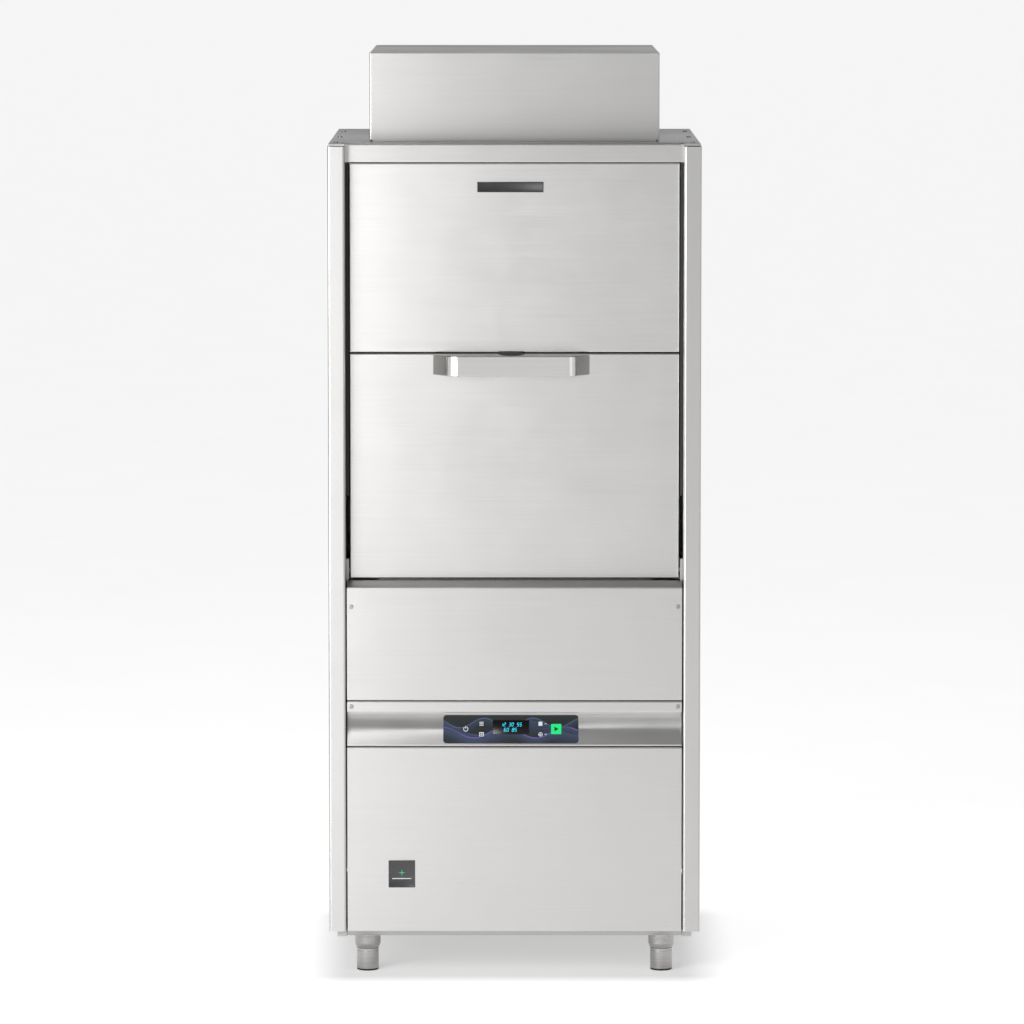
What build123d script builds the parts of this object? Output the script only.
"""Front-loading utensil washer with a split door and a heat-recovery box on its roof."""
from build123d import *
from math import atan2, cos, degrees, radians, sin
import os

os.makedirs("parts", exist_ok=True)

# ---- overall sizes, millimetres: +Z up, front towards -Y, origin on the floor under the centre
machine_width = 720
machine_depth = 800
foot_height = 80
base_height = 14
lower_panel_height = 361
control_band_height = 65
control_band_setback = 24
lip_height = 22
middle_panel_height = 221
ledge_rise = 9
ledge_depth = 53
lower_door_height = 438
upper_door_height = 366
header_height = 34
box_height = 168
box_width = 564
box_setback = 150
box_back_gap = 30

# ---- sheet, seams and edges
sheet = 2
bend = 4
small_bend = 3
seam = 1
door_seam = 2.5
panel_setback = 6
post_width = 33
post_return = 54
panel_side_gap = 2.5
edge_break = 1.5

# ---- heights that follow from the sizes above
base_bottom = foot_height
body_bottom = base_bottom + base_height
lower_panel_top = body_bottom + lower_panel_height
band_bottom = lower_panel_top + seam
band_top = band_bottom + control_band_height
lip_bottom = band_top + sheet
lip_top = lip_bottom + lip_height
middle_bottom = lip_top + seam
ledge_front = middle_bottom + middle_panel_height
ledge_back = ledge_front + ledge_rise
lower_door_bottom = ledge_back + door_seam
lower_door_top = lower_door_bottom + lower_door_height
upper_door_bottom = lower_door_top + door_seam
upper_door_top = upper_door_bottom + upper_door_height
header_bottom = upper_door_top + door_seam
header_top = header_bottom + header_height
roof_top = header_top + sheet
post_top = header_top - sheet
plinth_height = 4
box_bottom = roof_top + plinth_height
box_top = box_bottom + box_height
box_depth = machine_depth - box_setback - box_back_gap

# ---- widths and depths that follow
half_width = machine_width / 2
front = -machine_depth / 2
back = machine_depth / 2
post_inner = half_width - post_width
panel_half = post_inner - panel_side_gap
panel_front = front + panel_setback
door_gap = 7
door_half = post_inner - door_gap
door_thickness = 32
door_front = panel_front + ledge_depth + small_bend
door_back = door_front + door_thickness
back_panel_setback = 20
back_panel_face = back - back_panel_setback


def folded_strip(points, radius, inside):
    """Outline of one sheet folded along points, its thickness laid to the inside."""
    with BuildSketch() as profile:
        with BuildLine():
            FilletPolyline(*points, radius=radius)
            offset(amount=sheet, side=inside)
        make_face()
    return profile.sketch


def save(piece, name):
    """Label a finished piece with its node name and write its file."""
    piece.part.label = name
    export_step(piece.part, f"parts/{name}.step")


# ---- base frame and feet
base_inset = 15
base_half_width = half_width - base_inset
base_rail = 40
base_front_gap = 40
base_back_gap = 20
base_front = front + base_front_gap
base_tab = 12
base_tab_width = 19
base_back = back - base_back_gap
base_plate = 6
foot_inset = 57
foot_x = base_half_width - foot_inset
foot_front_gap = 116
foot_rear_gap = 80
foot_front_y = front + foot_front_gap
foot_rear_y = back - foot_rear_gap
foot_plate_size = 90
foot_places = [
    (-foot_x, foot_front_y),
    (foot_x, foot_front_y),
    (-foot_x, foot_rear_y),
    (foot_x, foot_rear_y),
]
base_middle_y = (base_front + base_back) / 2
base_depth = base_back - base_front

with BuildPart() as base_frame:
    with BuildSketch(Plane.XY.offset(base_bottom)):
        with Locations((0, base_middle_y)):
            Rectangle(2 * base_half_width, base_depth)
            Rectangle(2 * (base_half_width - base_rail), base_depth - 2 * base_rail, mode=Mode.SUBTRACT)
        for side in (-1, 1):
            with Locations((side * (base_half_width - base_tab_width / 2), base_front - base_tab / 2)):
                Rectangle(base_tab_width, base_tab)
    extrude(amount=base_height)
    with BuildSketch(Plane.XY.offset(base_bottom)):
        with Locations(*foot_places):
            Rectangle(foot_plate_size, foot_plate_size)
    extrude(amount=base_plate)
    with Locations((0, base_middle_y, body_bottom - sheet / 2)):
        Box(2 * (base_half_width - base_rail), base_depth - 2 * base_rail, sheet)
save(base_frame, "base_frame")

sleeve_radius = 25.2
sleeve_taper_radius = 22
sleeve_taper_height = 8
sleeve_gap = 1
foot_radius = 21.5
foot_body_height = 44
foot_edge = 3
foot_groove_height = 39
foot_groove = 0.8
stem_radius = 8
stem_length = 30
stem_clearance = 0.05
sleeve_bottom = foot_body_height + sleeve_gap

with BuildPart() as foot_sleeves:
    with BuildSketch(Plane.XZ):
        with BuildLine():
            Polyline(
                (stem_radius + stem_clearance, sleeve_bottom),
                (sleeve_taper_radius, sleeve_bottom),
                (sleeve_radius, sleeve_bottom + sleeve_taper_height),
                (sleeve_radius, base_bottom),
                (stem_radius + stem_clearance, base_bottom),
                close=True,
            )
        make_face()
    one_sleeve = revolve(axis=Axis.Z, mode=Mode.PRIVATE)
    with Locations(*foot_places):
        add(one_sleeve)
save(foot_sleeves, "foot_sleeves")

for (x, y), word in zip(foot_places, ("front_left", "front_right", "rear_left", "rear_right")):
    with BuildPart(Plane.XY.move(Location((x, y, 0)))) as foot:
        Cylinder(foot_radius, foot_body_height, align=(Align.CENTER, Align.CENTER, Align.MIN))
        fillet(foot.edges().group_by(Axis.Z)[0], foot_edge)
        with Locations((0, 0, foot_groove_height)):
            Cylinder(foot_radius + foot_groove, foot_groove, mode=Mode.SUBTRACT)
            Cylinder(foot_radius - foot_groove, foot_groove)
        with Locations((0, 0, foot_body_height)):
            Cylinder(stem_radius, stem_length, align=(Align.CENTER, Align.CENTER, Align.MIN))
    save(foot, f"foot_{word}")

# ---- side panels: one folded sheet each, whose front return is the door post
rear_return = 25
post_height = post_top - body_bottom
for side, word in ((-1, "left"), (1, "right")):
    side_points = [
        (side * (half_width - rear_return), back),
        (side * half_width, back),
        (side * half_width, front),
        (side * post_inner, front),
        (side * post_inner, front + post_return),
    ]
    with BuildPart() as side_panel:
        with BuildSketch(Plane.XY.offset(body_bottom)):
            add(folded_strip(side_points, bend, Side.LEFT if side < 0 else Side.RIGHT))
        extrude(amount=post_height)
    save(side_panel, f"side_panel_{word}")

# ---- back panel with louvres and holes for the services
louvre_width = 180
louvre_height = 6
louvre_pitch = 18
louvre_count = 9
louvre_drop = 270
louvre_z = post_top - louvre_drop
service_z = 170
inlet_x = -150
drain_x = 120
gland_x = 230
inlet_radius = 13.2
drain_radius = 12
gland_radius = 12
hole_clearance = 0.5
back_panel_half = half_width - sheet - seam

with BuildPart() as back_panel:
    with BuildSketch(Plane.XZ.offset(-back_panel_face)):
        with Locations((0, (body_bottom + post_top) / 2)):
            Rectangle(2 * back_panel_half, post_height)
        with Locations((0, louvre_z)):
            with GridLocations(2 * louvre_width, louvre_pitch, 2, louvre_count):
                SlotOverall(louvre_width, louvre_height, mode=Mode.SUBTRACT)
        for x, radius in ((inlet_x, inlet_radius), (drain_x, drain_radius), (gland_x, gland_radius)):
            with Locations((x, service_z)):
                Circle(radius + hole_clearance, mode=Mode.SUBTRACT)
    extrude(amount=sheet)
save(back_panel, "back_panel")

# ---- header beam across the top of the door opening
header_depth = 12
door_running_gap = 2
header_back = door_front - door_running_gap
header_front = header_back - header_depth
header_tab_setback = 4

with BuildPart() as header_beam:
    with Locations((0, (header_front + header_back) / 2, (header_bottom + header_top) / 2)):
        Box(2 * door_half, header_depth, header_height)
    fillet(header_beam.edges().filter_by(Axis.X).group_by(Axis.Y)[0], edge_break)
    with Locations(
        (0, (header_front + header_tab_setback + header_back) / 2, (header_bottom + header_top) / 2)
    ):
        Box(2 * post_inner, header_depth - header_tab_setback, header_height)
save(header_beam, "header_beam")

# ---- roof panel: a tray that leaves a slot for the rising door
roof_half = half_width - seam
roof_slot_side_gap = 14
roof_slot_half = door_half + roof_slot_side_gap
roof_edge_gap = 4
roof_front = door_back + roof_edge_gap
roof_flange = 12
roof_rim = 2
post_cover_back = front + post_return + sheet
box_middle_y = front + box_setback + box_depth / 2
plinth_inset = 6
plinth_wall = 18
plinth_hole_inset = plinth_inset + plinth_wall

with BuildPart() as roof_panel:
    with BuildSketch(Plane.XY.offset(header_top)):
        Rectangle(2 * roof_half, machine_depth - 2 * roof_rim)
        with Locations((0, (front + roof_front) / 2)):
            Rectangle(2 * roof_slot_half, roof_front - front, mode=Mode.SUBTRACT)
        for side in (-1, 1):
            with Locations(
                (side * (post_inner + roof_slot_half) / 2, (front + roof_rim + post_cover_back) / 2)
            ):
                Rectangle(roof_slot_half - post_inner, post_cover_back - front - roof_rim)
    extrude(amount=sheet)
    with Locations((0, roof_front + sheet / 2, header_top - roof_flange / 2)):
        Box(2 * roof_slot_half, sheet, roof_flange)
    with Locations((0, box_middle_y, roof_top + plinth_height / 2)):
        Box(box_width - 2 * plinth_inset, box_depth - 2 * plinth_inset, plinth_height)
        Box(
            box_width - 2 * plinth_hole_inset,
            box_depth - 2 * plinth_hole_inset,
            plinth_height,
            mode=Mode.SUBTRACT,
        )
save(roof_panel, "roof_panel")

# ---- front panels below the doors, each one folded sheet
return_depth = 18
gutter_drop = 12
gutter_back = door_back + roof_edge_gap
middle_points = [
    (panel_front + return_depth, middle_bottom),
    (panel_front, middle_bottom),
    (panel_front, ledge_front),
    (panel_front + ledge_depth, ledge_back),
    (panel_front + ledge_depth, ledge_back - gutter_drop),
    (gutter_back, ledge_back - gutter_drop),
]
band_points = [
    (panel_front + return_depth, lip_top),
    (panel_front, lip_top),
    (panel_front, lip_bottom),
    (panel_front + control_band_setback, band_top),
    (panel_front, band_bottom),
    (panel_front + return_depth, band_bottom),
]
toe_depth = 20
toe_drop = 11
lower_points = [
    (panel_front + return_depth, lower_panel_top),
    (panel_front, lower_panel_top),
    (panel_front, body_bottom),
    (panel_front + toe_depth, body_bottom - toe_drop),
    (panel_front + toe_depth + toe_drop, body_bottom - toe_drop),
]
front_plane = Plane.YZ.offset(-panel_half)

with BuildPart() as middle_front_panel:
    with BuildSketch(front_plane):
        add(folded_strip(middle_points, small_bend, Side.RIGHT))
    extrude(amount=2 * panel_half)
save(middle_front_panel, "middle_front_panel")

# the inclined control band: its own plane, with z pointing out of the band
band_tilt = degrees(atan2(control_band_setback, control_band_height))
band_middle_y = panel_front + control_band_setback / 2
band_middle_z = (band_bottom + band_top) / 2
control_x = -7
band_plane = Plane(
    origin=(control_x, band_middle_y, band_middle_z),
    x_dir=(1, 0, 0),
    z_dir=(0, -cos(radians(band_tilt)), sin(radians(band_tilt))),
)
control_width = 262
control_height = 56
control_corner = 6
control_sink = 1.5
control_proud = 1.5
control_clearance = 0.3
control_end_ledge = 12
control_edge_ledge = 6
clearance_width = control_width + 2 * control_clearance
clearance_height = control_height + 2 * control_clearance
control_hole_width = control_width - 2 * control_end_ledge
control_hole_height = control_height - 2 * control_edge_ledge
control_hole_depth = 8

with BuildPart() as control_fascia:
    with BuildSketch(front_plane):
        add(folded_strip(band_points, small_bend, Side.LEFT))
    extrude(amount=2 * panel_half)
    with BuildSketch(band_plane.offset(-control_hole_depth / 2)):
        RectangleRounded(control_hole_width, control_hole_height, control_corner)
    extrude(amount=control_hole_depth, mode=Mode.SUBTRACT)
    with BuildSketch(band_plane.offset(-control_sink)):
        RectangleRounded(clearance_width, clearance_height, control_corner + control_clearance)
    extrude(amount=2 * control_sink, mode=Mode.SUBTRACT)
save(control_fascia, "control_fascia")

with BuildPart() as lower_front_panel:
    with BuildSketch(front_plane):
        add(folded_strip(lower_points, small_bend, Side.LEFT))
    extrude(amount=2 * panel_half)
save(lower_front_panel, "lower_front_panel")

# ---- control panel, keys and board
key_proud = 0.4
key_depth = 6
key_clearance = 0.3
key_corner = 1.5
key_row = 10.5
power_key_x = -87.5
left_keys_x = -57
right_keys_x = 61.5
start_key_x = 88
power_key_size = (16, 16)
small_key_size = (15, 13)
wide_key_size = (22, 13)
start_key_size = (20, 20)
keys = {
    "power_key": (power_key_x, 0, power_key_size),
    "program_key": (left_keys_x, key_row, small_key_size),
    "basin_key": (left_keys_x, -key_row, small_key_size),
    "plate_key": (right_keys_x, key_row, wide_key_size),
    "language_key": (right_keys_x, -key_row, wide_key_size),
    "start_key": (start_key_x, 0, start_key_size),
}
board_gap = 2
board_thickness = 2
board_width = 220
board_height = 42
standoff_inset = 6
standoff_radius = 3

with BuildPart() as control_panel:
    with BuildSketch(band_plane.offset(-control_sink)):
        RectangleRounded(control_width, control_height, control_corner)
        for x, y, (width, height) in keys.values():
            with Locations((x, y)):
                RectangleRounded(
                    width + 2 * key_clearance,
                    height + 2 * key_clearance,
                    key_corner + key_clearance,
                    mode=Mode.SUBTRACT,
                )
    extrude(amount=control_sink + control_proud)
    chamfer(control_panel.faces().sort_by(SortBy.AREA)[-1].outer_wire().edges(), control_proud / 3)
save(control_panel, "control_panel")

for name, (x, y, (width, height)) in keys.items():
    with BuildPart() as key:
        with BuildSketch(band_plane.offset(-key_depth)):
            with Locations((x, y)):
                RectangleRounded(width, height, key_corner)
        extrude(amount=key_depth + control_proud + key_proud)
    save(key, name)

with BuildPart() as control_board:
    with BuildSketch(band_plane.offset(-key_depth - board_gap - board_thickness)):
        Rectangle(board_width, board_height)
    extrude(amount=board_thickness)
    with BuildSketch(band_plane.offset(-key_depth - board_gap)):
        with GridLocations(board_width - 2 * standoff_inset, board_height - 2 * standoff_inset, 2, 2):
            Circle(standoff_radius)
    extrude(amount=board_gap + key_depth - control_sink)
save(control_board, "control_board")

# ---- wash chamber: side walls with front flanges, rear wall and ceiling
chamber_wall_gap = 12
chamber_half = door_half - chamber_wall_gap
chamber_door_gap = 9
chamber_front = door_back + chamber_door_gap
chamber_service_gap = 70
chamber_back = back - chamber_service_gap
chamber_middle_y = (chamber_front + chamber_back) / 2
chamber_depth = chamber_back - chamber_front
chamber_bottom = ledge_back
chamber_rise = 2
chamber_top = upper_door_top + chamber_rise
flange_width = 11
flange_rise = 46
flange_bottom = lower_door_bottom + flange_rise
hub_y = chamber_middle_y
hub_height = 36
screen_drop = 10
lower_hub_bottom = chamber_bottom - screen_drop - sheet
lower_hub_top = lower_hub_bottom + hub_height
feed_radius = 9
feed_clearance = 0.3
feed_drop = 13
feed_z = lower_hub_top - feed_drop

with BuildPart() as chamber_side_walls:
    for side in (-1, 1):
        with Locations(
            (side * (chamber_half + sheet / 2), chamber_middle_y, (chamber_bottom + chamber_top) / 2)
        ):
            Box(sheet, chamber_depth, chamber_top - chamber_bottom)
        flange_x = side * (chamber_half + sheet + flange_width / 2)
        with Locations((flange_x, chamber_front + sheet / 2, (flange_bottom + chamber_top) / 2)):
            Box(flange_width, sheet, chamber_top - flange_bottom)
save(chamber_side_walls, "chamber_side_walls")

with BuildPart() as chamber_rear_wall:
    with Locations((0, chamber_back + sheet / 2, (chamber_bottom + chamber_top) / 2)):
        Box(2 * (chamber_half + sheet), sheet, chamber_top - chamber_bottom)
    with Locations((0, chamber_back, feed_z)):
        Cylinder(feed_radius + feed_clearance, 4 * sheet, rotation=(90, 0, 0), mode=Mode.SUBTRACT)
save(chamber_rear_wall, "chamber_rear_wall")

with BuildPart() as chamber_ceiling:
    with Locations((0, chamber_middle_y + sheet / 2, chamber_top + sheet / 2)):
        Box(2 * (chamber_half + sheet), chamber_depth + sheet, sheet)
save(chamber_ceiling, "chamber_ceiling")

# ---- gasket strips that the doors close against
gasket_thickness = 6
gasket_width = 8
gasket_end_gap = 6
gasket_top = upper_door_top - gasket_end_gap
gasket_x = chamber_half + sheet + flange_width / 2
with BuildPart() as door_gaskets:
    for side in (-1, 1):
        with Locations(
            (side * gasket_x, chamber_front - gasket_thickness / 2, (flange_bottom + gasket_top) / 2)
        ):
            Box(gasket_width, gasket_thickness, gasket_top - flange_bottom)
    fillet(door_gaskets.edges().filter_by(Axis.Z).group_by(Axis.Y)[0], edge_break)
save(door_gaskets, "door_gaskets")

# ---- wash tank under the chamber, its screen and heater
tank_inset = 23
tank_half = chamber_half - tank_inset
tank_height = 210
tank_end_gap = 14
tank_front = chamber_front + tank_end_gap
tank_back = chamber_back - tank_end_gap
tank_corner = 30
tank_middle_y = (tank_front + tank_back) / 2
tank_depth = tank_back - tank_front
tank_top = chamber_bottom
tank_bottom = tank_top - tank_height
sump_radius = 60
sump_depth = 22
sump_lead = 126
sump_y = tank_middle_y - sump_lead
suction_radius = 18

with BuildPart() as wash_tank:
    with BuildSketch(Plane.XY.offset(tank_bottom)):
        with Locations((0, tank_middle_y)):
            RectangleRounded(2 * tank_half, tank_depth, tank_corner)
    extrude(amount=tank_height)
    with BuildSketch(Plane.XY.offset(tank_bottom - sump_depth)):
        with Locations((0, sump_y)):
            Circle(sump_radius)
    extrude(amount=sump_depth + sheet)
    with BuildSketch(Plane.XY.offset(tank_bottom + sheet)):
        with Locations((0, tank_middle_y)):
            RectangleRounded(2 * (tank_half - sheet), tank_depth - 2 * sheet, tank_corner - sheet)
    extrude(amount=tank_height, mode=Mode.SUBTRACT)
    with BuildSketch(Plane.XY.offset(tank_bottom - sump_depth + sheet)):
        with Locations((0, sump_y)):
            Circle(sump_radius - sheet)
    extrude(amount=sump_depth, mode=Mode.SUBTRACT)
    with BuildSketch(Plane.XY.offset(tank_top - sheet)):
        with Locations((0, chamber_middle_y)):
            Rectangle(2 * (chamber_half + sheet), chamber_depth)
        with Locations((0, tank_middle_y)):
            RectangleRounded(
                2 * (tank_half - sheet), tank_depth - 2 * sheet, tank_corner - sheet, mode=Mode.SUBTRACT
            )
    extrude(amount=sheet)
save(wash_tank, "wash_tank")

hub_radius = 28
screen_slot = (52, 7)
screen_pitch = (70, 22)
screen_slots = (7, 22)
screen_rim = 2
screen_depth = tank_depth - 2 * sheet - 2 * screen_rim
with BuildPart() as tank_screen:
    with BuildSketch(Plane.XY.offset(tank_top - screen_drop)):
        with Locations((0, tank_middle_y)):
            RectangleRounded(2 * (tank_half - sheet - screen_rim), screen_depth, tank_corner)
            with GridLocations(*screen_pitch, *screen_slots):
                SlotOverall(*screen_slot, mode=Mode.SUBTRACT)
        with Locations((0, hub_y)):
            Circle(hub_radius + 2 * screen_rim)
            Circle(hub_radius + screen_rim, mode=Mode.SUBTRACT)
    extrude(amount=sheet)
save(tank_screen, "tank_screen")

heater_radius = 5
heater_rise = 35
heater_z = tank_bottom + heater_rise
heater_reach = 200
heater_half = 120
heater_bend = 40
heater_points = [
    (-heater_half, tank_back - sheet, heater_z),
    (-heater_half, tank_back - heater_reach, heater_z),
    (heater_half, tank_back - heater_reach, heater_z),
    (heater_half, tank_back - sheet, heater_z),
]
with BuildPart() as tank_heater:
    with BuildLine() as heater_path:
        FilletPolyline(*heater_points, radius=heater_bend)
    with BuildSketch(Plane.XZ.offset(-heater_points[0][1])):
        with Locations((heater_points[0][0], heater_z)):
            Circle(heater_radius)
    sweep(path=heater_path.line)
save(tank_heater, "tank_heater")

# ---- spray arms on their hubs
spindle_radius = 12
spindle_clearance = 0.05
spray_room = min(chamber_half, chamber_depth / 2)
arm_wall_gap = 43
arm_half = spray_room - arm_wall_gap
arm_width = 40
arm_thickness = 18
arm_hub_radius = 27
arm_hub_height = 24
rinse_wall_gap = 58
rinse_half = spray_room - rinse_wall_gap
rinse_width = 18
rinse_thickness = 12
rinse_hub_radius = 20
rinse_hub_height = 14
arm_gap = 3
nut_radius = 17
nut_height = 6
nozzle_radius = 5
nozzle_height = 4
nozzles_per_side = 5
nozzle_end_gap = 8
nozzle_pitch = (arm_half - arm_hub_radius - nozzle_end_gap) / nozzles_per_side
upper_hub_bottom = chamber_top - hub_height
spindle_length = arm_hub_height + rinse_hub_height + 3 * arm_gap

with BuildPart() as arm_hubs:
    for floor, direction in ((lower_hub_bottom, 1), (chamber_top, -1)):
        hub_plane = Plane(origin=(0, hub_y, floor), z_dir=(0, 0, direction))
        with BuildSketch(hub_plane):
            Circle(hub_radius)
        extrude(amount=hub_height)
        with BuildSketch(hub_plane.offset(hub_height)):
            Circle(spindle_radius)
        extrude(amount=spindle_length)
        with BuildSketch(hub_plane.offset(hub_height + spindle_length)):
            RegularPolygon(nut_radius, side_count=6)
        extrude(amount=nut_height)
save(arm_hubs, "arm_hubs")

for place, floor, direction in (("lower", lower_hub_top, 1), ("upper", upper_hub_bottom, -1)):
    arm_plane = Plane(origin=(0, hub_y, floor), z_dir=(0, 0, direction)).offset(arm_gap)
    with BuildPart() as wash_arm:
        with BuildSketch(arm_plane):
            SlotOverall(2 * arm_half, arm_width)
        extrude(amount=arm_thickness)
        chamfer(wash_arm.edges().group_by(Axis.Z)[0], edge_break)
        chamfer(wash_arm.edges().group_by(Axis.Z)[-1], edge_break)
        with BuildSketch(arm_plane):
            Circle(arm_hub_radius)
        extrude(amount=arm_hub_height)
        with BuildSketch(arm_plane.offset(arm_thickness)):
            for side in (-1, 1):
                for count in range(1, nozzles_per_side + 1):
                    with Locations((side * (arm_hub_radius + count * nozzle_pitch - arm_width / 2), 0)):
                        Circle(nozzle_radius)
        extrude(amount=nozzle_height)
        with BuildSketch(arm_plane):
            Circle(spindle_radius + spindle_clearance)
        extrude(amount=arm_hub_height, mode=Mode.SUBTRACT)
    save(wash_arm, f"{place}_wash_arm")

    rinse_plane = arm_plane.offset(arm_hub_height + arm_gap)
    with BuildPart() as rinse_arm:
        with BuildSketch(rinse_plane):
            SlotOverall(2 * rinse_half, rinse_width, rotation=90)
        extrude(amount=rinse_thickness)
        with BuildSketch(rinse_plane):
            Circle(rinse_hub_radius)
        extrude(amount=rinse_hub_height)
        with BuildSketch(rinse_plane):
            Circle(spindle_radius + spindle_clearance)
        extrude(amount=rinse_hub_height, mode=Mode.SUBTRACT)
    save(rinse_arm, f"{place}_rinse_arm")

# ---- rack on its rails
rail_clearance = 14
rail_top = lower_hub_top + spindle_length + nut_height + rail_clearance
rail_reach = 50
rail_drop = 24
rack_side_gap = 40
rack_end_gap = 45.5
rack_half_width = chamber_half - rack_side_gap
rack_half_depth = chamber_depth / 2 - rack_end_gap
rack_height = 70
rod_radius = 4
wire_radius = 2.5
upright_radius = 3.2
wire_rise = 1.8
wire_count = 11
upright_count = 5
rack_corner = 24
rack_bottom_z = rail_top + rod_radius
rack_top_z = rack_bottom_z + rack_height
rail_end_gap = 20
rail_length = chamber_depth - 2 * rail_end_gap

with BuildPart() as rack_rails:
    for side in (-1, 1):
        with Locations((side * (chamber_half - rail_reach / 2), hub_y, rail_top - sheet / 2)):
            Box(rail_reach, rail_length, sheet)
        with Locations((side * (chamber_half - sheet / 2), hub_y, rail_top - rail_drop / 2)):
            Box(sheet, rail_length, rail_drop)
save(rack_rails, "rack_rails")

wire_pitch_x = 2 * rack_half_width / (wire_count + 1)
wire_pitch_y = 2 * rack_half_depth / (wire_count + 1)
upright_pitch_x = 2 * rack_half_width / (upright_count + 1)
upright_pitch_y = 2 * rack_half_depth / (upright_count + 1)
rack_inner_corner = rack_corner - 2 * rod_radius
with BuildPart() as utensil_rack:
    for z in (rack_bottom_z, rack_top_z):
        with BuildSketch(Plane.XY.offset(z - rod_radius)):
            with Locations((0, hub_y)):
                RectangleRounded(
                    2 * (rack_half_width + rod_radius), 2 * (rack_half_depth + rod_radius), rack_corner
                )
                RectangleRounded(
                    2 * (rack_half_width - rod_radius),
                    2 * (rack_half_depth - rod_radius),
                    rack_inner_corner,
                    mode=Mode.SUBTRACT,
                )
        extrude(amount=2 * rod_radius)
    with Locations((0, hub_y, rack_bottom_z)):
        with GridLocations(wire_pitch_x, 0, wire_count, 1):
            Cylinder(wire_radius, 2 * rack_half_depth, rotation=(90, 0, 0))
    with Locations((0, hub_y, rack_bottom_z + wire_rise)):
        with GridLocations(0, 2 * wire_pitch_y, 1, wire_count // 2):
            Cylinder(wire_radius, 2 * rack_half_width, rotation=(0, 90, 0))
    with Locations((0, hub_y, (rack_bottom_z + rack_top_z) / 2)):
        with GridLocations(upright_pitch_x, 2 * rack_half_depth, upright_count, 2):
            Cylinder(upright_radius, rack_height)
        with GridLocations(2 * rack_half_width, upright_pitch_y, 2, upright_count):
            Cylinder(upright_radius, rack_height)
save(utensil_rack, "utensil_rack")

# ---- wash pump, motor and pipes
pump_rise = 170
pump_lead = 50
pump_z = base_bottom + pump_rise
pump_front = sump_y + pump_lead
pump_radius = 78
pump_wall = 5
pump_depth = 60
motor_radius = 62
motor_length = 190
pump_shaft_radius = 9
pump_shaft_clearance = 0.05
impeller_radius = 60
impeller_thickness = 24
impeller_blades = 6
pump_plane = Plane(origin=(0, pump_front, pump_z), x_dir=(1, 0, 0), z_dir=(0, 1, 0))

with BuildPart() as wash_pump_housing:
    with BuildSketch(pump_plane):
        Circle(pump_radius)
    extrude(amount=pump_depth)
    fillet(wash_pump_housing.edges().group_by(Axis.Y)[0], pump_wall)
    with BuildSketch(pump_plane.offset(pump_wall)):
        Circle(pump_radius - pump_wall)
    extrude(amount=pump_depth - 2 * pump_wall, mode=Mode.SUBTRACT)
    with BuildSketch(pump_plane.offset(pump_depth - pump_wall)):
        Circle(pump_shaft_radius + pump_shaft_clearance)
    extrude(amount=pump_wall, mode=Mode.SUBTRACT)
save(wash_pump_housing, "wash_pump_housing")

impeller_gap = 6
impeller_start = pump_wall + impeller_gap
blade_root = 7
impeller_tip_gap = 1
impeller_tip = impeller_radius - impeller_tip_gap
with BuildPart() as wash_pump_impeller:
    with BuildSketch(pump_plane.offset(impeller_start + impeller_thickness)):
        Circle(impeller_radius)
    extrude(amount=pump_wall)
    with BuildSketch(pump_plane.offset(impeller_start)):
        with PolarLocations((blade_root + impeller_tip) / 2, impeller_blades):
            Rectangle(impeller_tip - blade_root, pump_wall)
        Circle(pump_shaft_radius + pump_wall)
    extrude(amount=impeller_thickness)
    with BuildSketch(pump_plane.offset(impeller_start + impeller_thickness + pump_wall)):
        Circle(pump_shaft_radius)
    extrude(amount=pump_depth - impeller_start - impeller_thickness)
save(wash_pump_impeller, "wash_pump_impeller")

motor_foot_width = 90
motor_plate_width = 150
motor_foot_height = pump_z - body_bottom
with BuildPart() as wash_pump_motor:
    with BuildSketch(pump_plane.offset(pump_depth)):
        Circle(motor_radius)
    extrude(amount=motor_length)
    chamfer(wash_pump_motor.edges().group_by(Axis.Y)[-1], pump_wall)
    with BuildSketch(pump_plane.offset(pump_depth)):
        Circle(pump_shaft_radius + pump_shaft_clearance + pump_wall)
    extrude(amount=pump_wall, mode=Mode.SUBTRACT)
    with Locations((0, pump_front + pump_depth + motor_length / 2, body_bottom + motor_foot_height / 2)):
        Box(motor_foot_width, motor_length / 2, motor_foot_height)
    with Locations((0, pump_front + pump_depth + motor_length / 2, body_bottom + sheet)):
        Box(motor_plate_width, motor_length / 2, 2 * sheet)
save(wash_pump_motor, "wash_pump_motor")

riser_radius = 13
riser_y = (chamber_back + sheet + back_panel_face - sheet) / 2
riser_rise = 180
riser_turn_z = pump_z + riser_rise
riser_top_z = chamber_top + sheet + riser_radius + seam
riser_start_y = pump_front + pump_depth / 2
suction_points = [
    (0, sump_y, tank_bottom - sump_depth),
    (0, sump_y, pump_z),
    (0, pump_front, pump_z),
]
riser_points = [
    (0, riser_start_y, pump_z + pump_radius),
    (0, riser_start_y, riser_turn_z),
    (0, riser_y, riser_turn_z),
    (0, riser_y, riser_top_z),
    (0, hub_y, riser_top_z),
    (0, hub_y, chamber_top + sheet),
]
suction_bend = 30
riser_bend = 14

with BuildPart() as pump_pipes:
    with BuildLine() as suction_path:
        FilletPolyline(*suction_points, radius=suction_bend)
    with BuildSketch(Plane.XY.offset(tank_bottom - sump_depth)):
        with Locations((0, sump_y)):
            Circle(suction_radius)
    sweep(path=suction_path.line)
    with BuildLine() as riser_path:
        FilletPolyline(*riser_points, radius=riser_bend)
    with BuildSketch(Plane.XY.offset(riser_points[0][2])):
        with Locations((0, riser_start_y)):
            Circle(riser_radius)
    sweep(path=riser_path.line)
    with BuildSketch(Plane.XZ.offset(-(hub_y + hub_radius))):
        with Locations((0, feed_z)):
            Circle(feed_radius)
    extrude(amount=-(riser_y - hub_y - hub_radius))
save(pump_pipes, "pump_pipes")

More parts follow.
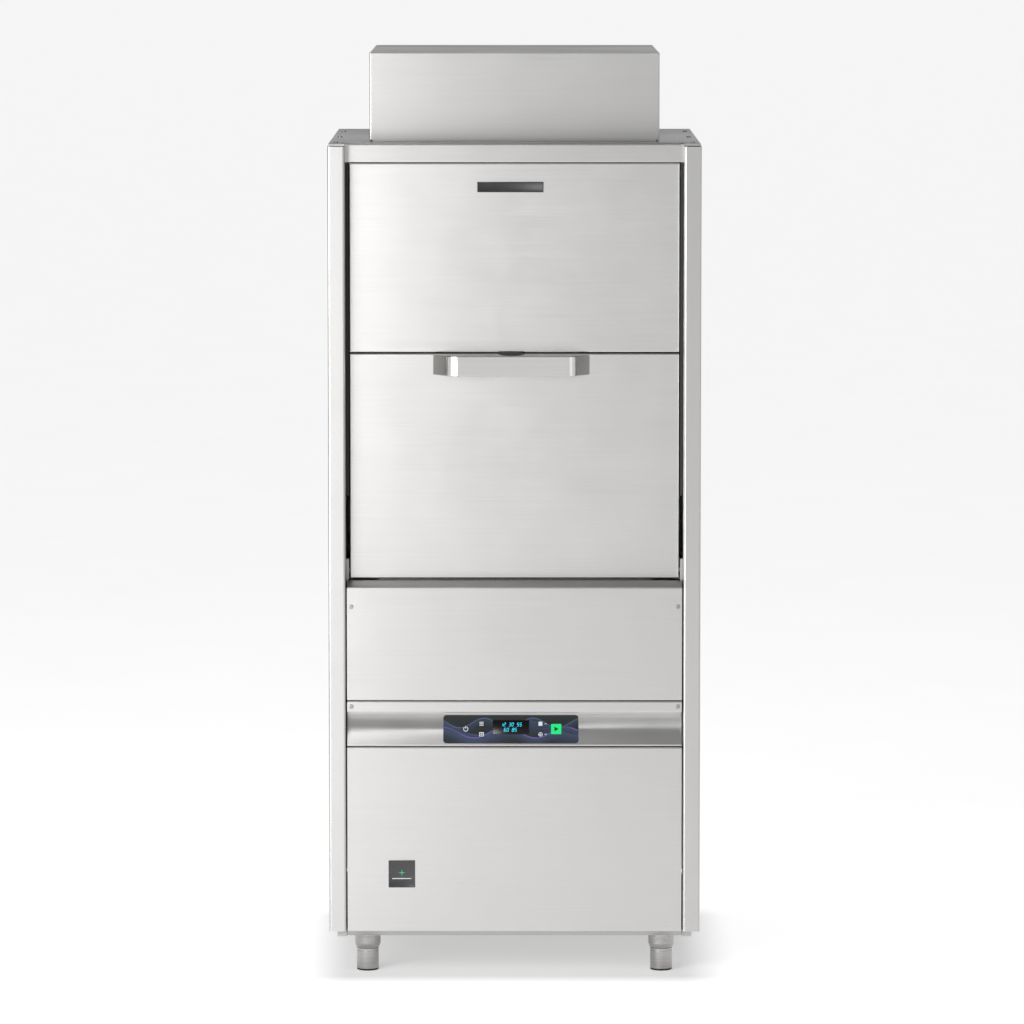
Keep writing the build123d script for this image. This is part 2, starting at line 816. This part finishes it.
# ---- boiler, drain pump, inlet valve and cable gland
boiler_x = -205
boiler_back_gap = 210
boiler_y = back - boiler_back_gap
boiler_radius = 82
boiler_height = 350
boiler_dome = 20
boiler_plate_margin = 20
with BuildPart() as boiler:
    with Locations((boiler_x, boiler_y, body_bottom + boiler_height / 2)):
        Cylinder(boiler_radius, boiler_height)
    fillet(boiler.edges().filter_by(GeomType.CIRCLE), boiler_dome)
    with Locations((boiler_x, boiler_y, body_bottom + boiler_height)):
        Cylinder(boiler_dome, boiler_dome)
    with Locations((boiler_x, boiler_y, body_bottom + sheet)):
        Box(2 * (boiler_radius + boiler_plate_margin), 2 * boiler_radius, 2 * sheet)
save(boiler, "boiler")

drain_pump_radius = 36
drain_pump_length = 110
spigot_margin = 2
spigot_end = back - spigot_margin
drain_wall = 2
neck_gap = 2
neck_step = 0.7
neck_length = 2 * sheet + neck_gap
spigot_length = spigot_end - back_panel_face - neck_gap
with BuildPart() as drain_pump:
    drain_plane = Plane(
        origin=(drain_x, back_panel_face - 2 * sheet, service_z), x_dir=(1, 0, 0), z_dir=(0, -1, 0)
    )
    with BuildSketch(drain_plane):
        Circle(drain_pump_radius)
    extrude(amount=drain_pump_length)
    with BuildSketch(drain_plane):
        Circle(drain_radius - neck_step)
    extrude(amount=-neck_length)
    with BuildSketch(drain_plane.offset(-neck_length)):
        Circle(drain_radius)
    extrude(amount=-spigot_length)
    with BuildSketch(drain_plane):
        Circle(drain_radius - drain_wall)
    extrude(amount=-(neck_length + spigot_length), mode=Mode.SUBTRACT)
    with Locations(
        (drain_x, back_panel_face - 2 * sheet - drain_pump_length / 2, (body_bottom + service_z) / 2)
    ):
        Box(drain_pump_radius, drain_pump_length / 2, service_z - body_bottom)
save(drain_pump, "drain_pump")

valve_size = 44
with BuildPart() as inlet_valve:
    inlet_plane = Plane(
        origin=(inlet_x, back_panel_face - 2 * sheet, service_z), x_dir=(1, 0, 0), z_dir=(0, -1, 0)
    )
    with BuildSketch(inlet_plane):
        RectangleRounded(valve_size, valve_size, control_corner)
    extrude(amount=valve_size)
    with BuildSketch(inlet_plane):
        Circle(inlet_radius - neck_step)
    extrude(amount=-neck_length)
    with BuildSketch(inlet_plane.offset(-neck_length)):
        Circle(inlet_radius)
    extrude(amount=-spigot_length)
    with BuildSketch(inlet_plane):
        Circle(inlet_radius / 2)
    extrude(amount=-(neck_length + spigot_length), mode=Mode.SUBTRACT)
save(inlet_valve, "inlet_valve")

gland_nut = 18
gland_bore = 7
gland_depth = 30
with BuildPart() as cable_gland:
    gland_plane = Plane(origin=(gland_x, back_panel_face, service_z), x_dir=(1, 0, 0), z_dir=(0, 1, 0))
    with BuildSketch(gland_plane):
        RegularPolygon(gland_nut, side_count=6)
    extrude(amount=spigot_end - back_panel_face)
    with BuildSketch(gland_plane.offset(-gland_depth)):
        Circle(gland_radius)
    extrude(amount=gland_depth)
    with BuildSketch(gland_plane.offset(-gland_depth)):
        Circle(gland_bore)
    extrude(amount=gland_depth + spigot_end - back_panel_face, mode=Mode.SUBTRACT)
save(cable_gland, "cable_gland")

# ---- heat-recovery box on the roof: hood, coil, fan frame and fan
hood_sheet = 1.5
grille_slot = (90, 5)
grille_pitch = (110, 12)
grille_count = (4, 9)
with BuildPart() as condenser_hood:
    with Locations((0, box_middle_y, (box_bottom + box_top) / 2)):
        Box(box_width, box_depth, box_height)
    fillet(condenser_hood.edges().filter_by(Axis.Z), small_bend)
    fillet(condenser_hood.edges().group_by(Axis.Z)[-1], edge_break)
    with Locations((0, box_middle_y, (box_bottom + box_top) / 2 - hood_sheet)):
        Box(box_width - 2 * hood_sheet, box_depth - 2 * hood_sheet, box_height, mode=Mode.SUBTRACT)
    with BuildSketch(Plane.XZ.offset(-(box_middle_y + box_depth / 2 + hood_sheet))):
        with Locations((0, (box_bottom + box_top) / 2)):
            with GridLocations(*grille_pitch, *grille_count):
                SlotOverall(*grille_slot)
    extrude(amount=3 * hood_sheet, mode=Mode.SUBTRACT)
save(condenser_hood, "condenser_hood")

coil_width = 460
coil_depth = 150
coil_height = 120
fin_count = 24
fin_thickness = 2
tube_radius = 5
fin_pitch = coil_width / fin_count
coil_lead = 130
coil_y = box_middle_y - coil_lead
with BuildPart() as condenser_coil:
    with Locations((0, coil_y, roof_top + coil_height / 2)):
        with GridLocations(fin_pitch, 0, fin_count, 1):
            Box(fin_thickness, coil_depth, coil_height)
        for height in (-coil_height / 4, coil_height / 4):
            with Locations((0, 0, height)):
                with GridLocations(0, coil_depth / 3, 1, 3):
                    Cylinder(tube_radius, coil_width, rotation=(0, 90, 0))
save(condenser_coil, "condenser_coil")

fan_radius = 62
fan_blades = 7
fan_hub = 22
fan_tip_gap = 3
fan_lag = 150
fan_y = box_middle_y + fan_lag
fan_z = (roof_top + box_top) / 2
fan_depth = 24
frame_depth = 38
fan_frame_half = fan_z - roof_top
fan_shaft = 4
fan_shaft_clearance = 0.05
frame_bar = 10
fan_plane = Plane(origin=(0, fan_y, fan_z), x_dir=(1, 0, 0), z_dir=(0, 1, 0))
with BuildPart() as fan_frame:
    with BuildSketch(fan_plane):
        Rectangle(2 * (fan_radius + 3 * fan_tip_gap), 2 * fan_frame_half - 2 * fan_tip_gap)
        Circle(fan_radius + fan_tip_gap, mode=Mode.SUBTRACT)
    extrude(amount=frame_depth)
    with BuildSketch(fan_plane):
        Rectangle(2 * (fan_radius + fan_tip_gap), frame_bar)
        Circle(fan_hub)
        Circle(fan_shaft + fan_shaft_clearance, mode=Mode.SUBTRACT)
    extrude(amount=frame_bar / 2)
    with Locations((0, fan_y + frame_depth / 2, roof_top + fan_tip_gap / 2)):
        Box(2 * (fan_radius + 3 * fan_tip_gap), frame_depth, fan_tip_gap)
save(fan_frame, "fan_frame")

fan_start = frame_bar / 2 + fan_tip_gap
blade_chord = 24
blade_pitch = 35
blade_length = fan_radius - fan_tip_gap - fan_hub / 2
with BuildPart() as condenser_fan:
    with BuildSketch(fan_plane.offset(fan_start)):
        Circle(fan_hub)
    extrude(amount=fan_depth)
    with BuildSketch(fan_plane):
        Circle(fan_shaft)
    extrude(amount=fan_start + fan_depth)
    with Locations(fan_plane.offset(fan_start + fan_depth / 2)):
        with PolarLocations(fan_hub / 2 + blade_length / 2, fan_blades):
            Box(blade_length, blade_chord, sheet, rotation=(blade_pitch, 0, 0))
save(condenser_fan, "condenser_fan")

# ---- doors: each leaf is a folded outer skin with an inner liner
hinge_y = door_front + door_thickness / 2
hinge_z = lower_door_bottom + door_thickness / 2
shaft_radius = 8
shaft_clearance = 0.05
liner_thickness = 6
skin_edge = 2.5
door_middle_y = (door_front + door_back - liner_thickness) / 2
skin_depth = door_thickness - liner_thickness
leaves = {
    "lower_door": (lower_door_bottom, lower_door_top),
    "upper_door": (upper_door_bottom, upper_door_top),
}
for name, (bottom, top) in leaves.items():
    middle = (bottom + top) / 2
    with BuildPart() as door_skin:
        with Locations((0, door_middle_y, middle)):
            Box(2 * door_half, skin_depth, top - bottom)
        fillet(door_skin.edges().group_by(Axis.Y)[0], skin_edge)
        with Locations((0, door_middle_y + sheet, middle)):
            Box(2 * (door_half - sheet), skin_depth, top - bottom - 2 * sheet, mode=Mode.SUBTRACT)
        if name == "lower_door":
            with Locations((0, hinge_y, hinge_z)):
                Cylinder(shaft_radius, machine_width, rotation=(0, 90, 0), mode=Mode.SUBTRACT)
    save(door_skin, f"{name}_skin")
    with BuildPart() as door_liner:
        with Locations((0, door_back - liner_thickness / 2, middle)):
            Box(2 * door_half, liner_thickness, top - bottom)
        fillet(door_liner.edges().group_by(Axis.Y)[-1], skin_edge)
        with Locations((0, door_back - liner_thickness / 2 - sheet, middle)):
            Box(2 * (door_half - sheet), liner_thickness, top - bottom - 2 * sheet, mode=Mode.SUBTRACT)
    save(door_liner, f"{name}_liner")

# ---- handle: one bent strip bowed out in front of the lower leaf
handle_x = -6
handle_length = 303
handle_height = 38
handle_drop = 3
handle_top = lower_door_top - handle_drop
handle_strip = 3
handle_reach = 42
handle_ramp = 34
handle_bend = 30
handle_points = [
    (-handle_length / 2, door_front),
    (-handle_length / 2 + handle_ramp, door_front - handle_reach),
    (handle_length / 2 - handle_ramp, door_front - handle_reach),
    (handle_length / 2, door_front),
]
with BuildPart() as door_handle:
    with BuildSketch(Plane(origin=(handle_x, 0, handle_top - handle_height))):
        with BuildLine():
            FilletPolyline(*handle_points, radius=handle_bend)
            offset(amount=handle_strip, side=Side.LEFT)
        make_face()
    extrude(amount=handle_height)
    split(bisect_by=Plane.XZ.offset(-door_front), keep=Keep.TOP)
    fillet(door_handle.edges().filter_by(Axis.X).group_by(Axis.Y)[0], handle_strip / 3)
save(door_handle, "door_handle")

catch_width = 52
catch_height = 9
catch_proud = 7
catch_taper = 12
with BuildPart() as door_catch:
    with BuildSketch(Plane.XZ.offset(-door_front)):
        with Locations((handle_x, lower_door_top)):
            Ellipse(catch_width / 2, catch_height / 2)
    extrude(amount=catch_proud, taper=catch_taper)
save(door_catch, "door_catch")

# ---- hinge shaft with its levers, and the brackets that carry it
bracket_gap = 2
bracket_thickness = 12
bracket_x = door_half + bracket_gap
lever_inset = 16
lever_x = half_width - lever_inset
lever_thickness = 6
lever_length = 233
lever_angle = 45
lever_width = 26
lever_boss = 18
roller_radius = 8
roller_length = 6
shaft_end = lever_x + lever_thickness

with BuildPart() as hinge_shaft:
    with Locations((0, hinge_y, hinge_z)):
        Cylinder(shaft_radius, 2 * shaft_end, rotation=(0, 90, 0))
    for side in (-1, 1):
        lever_plane = Plane(origin=(side * lever_x, hinge_y, hinge_z), x_dir=(0, 1, 0), z_dir=(side, 0, 0))
        turn = side * -lever_angle
        with BuildSketch(lever_plane):
            with PolarLocations(lever_length / 2, 1, start_angle=turn):
                SlotCenterToCenter(lever_length, lever_width)
            Circle(lever_boss)
        extrude(amount=lever_thickness)
        with BuildSketch(lever_plane):
            with PolarLocations(lever_length, 1, start_angle=turn):
                Circle(roller_radius)
        extrude(amount=-roller_length)
save(hinge_shaft, "hinge_shaft")

bracket_lead = 14
bracket_reach = 35
bracket_front = hinge_y - bracket_lead
bracket_back = chamber_front + bracket_reach
bracket_height = 44
bracket_step = 7
with BuildPart() as hinge_brackets:
    for side in (-1, 1):
        with Locations(
            (side * (bracket_x + bracket_thickness / 2), (bracket_front + bracket_back) / 2, hinge_z)
        ):
            Box(bracket_thickness, bracket_back - bracket_front, bracket_height)
        foot_width = bracket_x - chamber_half - sheet
        with Locations(
            (side * (bracket_x - foot_width / 2), (chamber_front + bracket_step + bracket_back) / 2, hinge_z)
        ):
            Box(foot_width, bracket_back - chamber_front - bracket_step, bracket_height)
    with Locations((0, hinge_y, hinge_z)):
        Cylinder(shaft_radius + shaft_clearance, machine_width, rotation=(0, 90, 0), mode=Mode.SUBTRACT)
save(hinge_brackets, "hinge_brackets")

# ---- guide strips and the carriages that lift the upper leaf
tongue_thickness = 14
tongue_gap = 1
tongue_y = hinge_y
tongue_reach = 11
tongue_inner_gap = 3
tongue_outer = door_half + tongue_reach
tongue_inner = door_half + tongue_inner_gap
guide_bar = tongue_y - tongue_thickness / 2 - tongue_gap - header_back
guide_reach = 17
guide_outer = door_half + guide_reach
guide_below_seam = 279
guide_bottom = upper_door_bottom - guide_below_seam
guide_top_gap = 12
guide_top = header_top - guide_top_gap
tongue_rise = 10
tongue_bottom = guide_bottom + tongue_rise
with BuildPart() as door_guides:
    for side in (-1, 1):
        for direction in (-1, 1):
            guide_y = tongue_y + direction * (tongue_thickness / 2 + tongue_gap + guide_bar / 2)
            guide_x = side * (door_half + tongue_gap + guide_outer) / 2
            with Locations((guide_x, guide_y, (guide_bottom + guide_top) / 2)):
                Box(guide_outer - door_half - tongue_gap, guide_bar, guide_top - guide_bottom)
save(door_guides, "door_guides")

strip_gap = 1.5
strip_thickness = 3.5
strip_lag = 22
strip_inner = guide_outer + strip_gap
strip_outer = strip_inner + strip_thickness
strip_front = hinge_y + strip_lag
strip_width = 30
bridge_height = 50
pin_y = hinge_y + lever_length * cos(radians(lever_angle))
pin_z = hinge_z - lever_length * sin(radians(lever_angle))
slot_swing = lever_length - lever_length * cos(radians(lever_angle))
slot_gap = 2
linear_error = 8
slot_wall = 12
slot_front = pin_y - roller_radius - slot_gap
slot_back = pin_y + slot_swing + roller_radius + slot_gap
slot_half_height = roller_radius + linear_error
arm_bottom = pin_z - slot_half_height - slot_wall
arm_top = pin_z + slot_half_height + slot_wall
with BuildPart() as door_carriages:
    for side in (-1, 1):
        with Locations(
            (side * (door_half + tongue_outer) / 2, tongue_y, (upper_door_bottom + upper_door_top) / 2)
        ):
            Box(tongue_outer - door_half, tongue_thickness, upper_door_height)
        with Locations(
            (side * (tongue_inner + tongue_outer) / 2, tongue_y, (tongue_bottom + upper_door_bottom) / 2)
        ):
            Box(tongue_outer - tongue_inner, tongue_thickness, upper_door_bottom - tongue_bottom)
        with Locations(
            (side * (tongue_outer + strip_outer) / 2, tongue_y, tongue_bottom + bridge_height / 2)
        ):
            Box(strip_outer - tongue_outer, tongue_thickness, bridge_height)
        bridge_back = strip_front + strip_width
        bridge_front = tongue_y - tongue_thickness / 2
        strip_x = side * (strip_inner + strip_outer) / 2
        with Locations((strip_x, (bridge_front + bridge_back) / 2, tongue_bottom + bridge_height / 2)):
            Box(strip_outer - strip_inner, bridge_back - bridge_front, bridge_height)
        with Locations((strip_x, strip_front + strip_width / 2, (arm_bottom + tongue_bottom) / 2)):
            Box(strip_outer - strip_inner, strip_width, tongue_bottom - arm_bottom)
        with Locations((strip_x, (strip_front + slot_back + slot_wall) / 2, (arm_bottom + arm_top) / 2)):
            Box(strip_outer - strip_inner, slot_back + slot_wall - strip_front, arm_top - arm_bottom)
        with Locations((strip_x, (slot_front + slot_back) / 2, pin_z)):
            Box(2 * roller_radius, slot_back - slot_front, 2 * slot_half_height, mode=Mode.SUBTRACT)
save(door_carriages, "door_carriages")

# ---- counterbalance springs hooked from the levers down to the base frame
spring_radius = 9
spring_wire = 3
spring_x = lever_x + lever_thickness / 2
spring_gap = 6
spring_top = pin_z - lever_width / 2 - spring_gap
spring_bottom = body_bottom
spring_coils = 24
hook_length = 60
coil_length = spring_top - spring_bottom - 2 * hook_length
coil_pitch = coil_length / spring_coils
with BuildPart() as counter_springs:
    for side in (-1, 1):
        with Locations((side * spring_x, pin_y, (spring_top + spring_bottom) / 2)):
            Cylinder(spring_wire, spring_top - spring_bottom)
        with Locations((side * spring_x, pin_y, (spring_top + spring_bottom) / 2)):
            Cylinder(spring_radius - spring_wire / 2, coil_length)
        for count in range(spring_coils):
            coil_z = spring_bottom + hook_length + (count + 0.5) * coil_pitch
            with Locations((side * spring_x, pin_y, coil_z)):
                Cylinder(spring_radius, coil_pitch / 2)
save(counter_springs, "counter_springs")

# ---- screws that show: two on each side of the front, three along each roof edge
screw_radius = 4.5
screw_height = 2
screw_dome = 0.8
front_screw_edge = 8
upper_screw_drop = 38
roof_screw_edge = 15
roof_screw_front_gap = 84
roof_screw_back_gap = 150
front_screw_x = panel_half - front_screw_edge
front_screw_heights = (ledge_front - upper_screw_drop, lip_top - lip_height / 2)
roof_screw_x = half_width - roof_screw_edge
roof_screw_first = front + roof_screw_front_gap
roof_screw_last = back - roof_screw_back_gap
roof_screw_places = (roof_screw_first, (roof_screw_first + roof_screw_last) / 2, roof_screw_last)
with BuildPart() as panel_screws:
    for z in front_screw_heights:
        with BuildSketch(Plane.XZ.offset(-panel_front)):
            with Locations((-front_screw_x, z), (front_screw_x, z)):
                Circle(screw_radius)
        extrude(amount=screw_height)
    with BuildSketch(Plane.XY.offset(roof_top)):
        for y in roof_screw_places:
            with Locations((-roof_screw_x, y), (roof_screw_x, y)):
                Circle(screw_radius)
    extrude(amount=screw_height)
    fillet(panel_screws.edges().group_by(Axis.Z)[-1], screw_dome)
    fillet(panel_screws.edges().group_by(Axis.Y)[0], screw_dome)
save(panel_screws, "panel_screws")
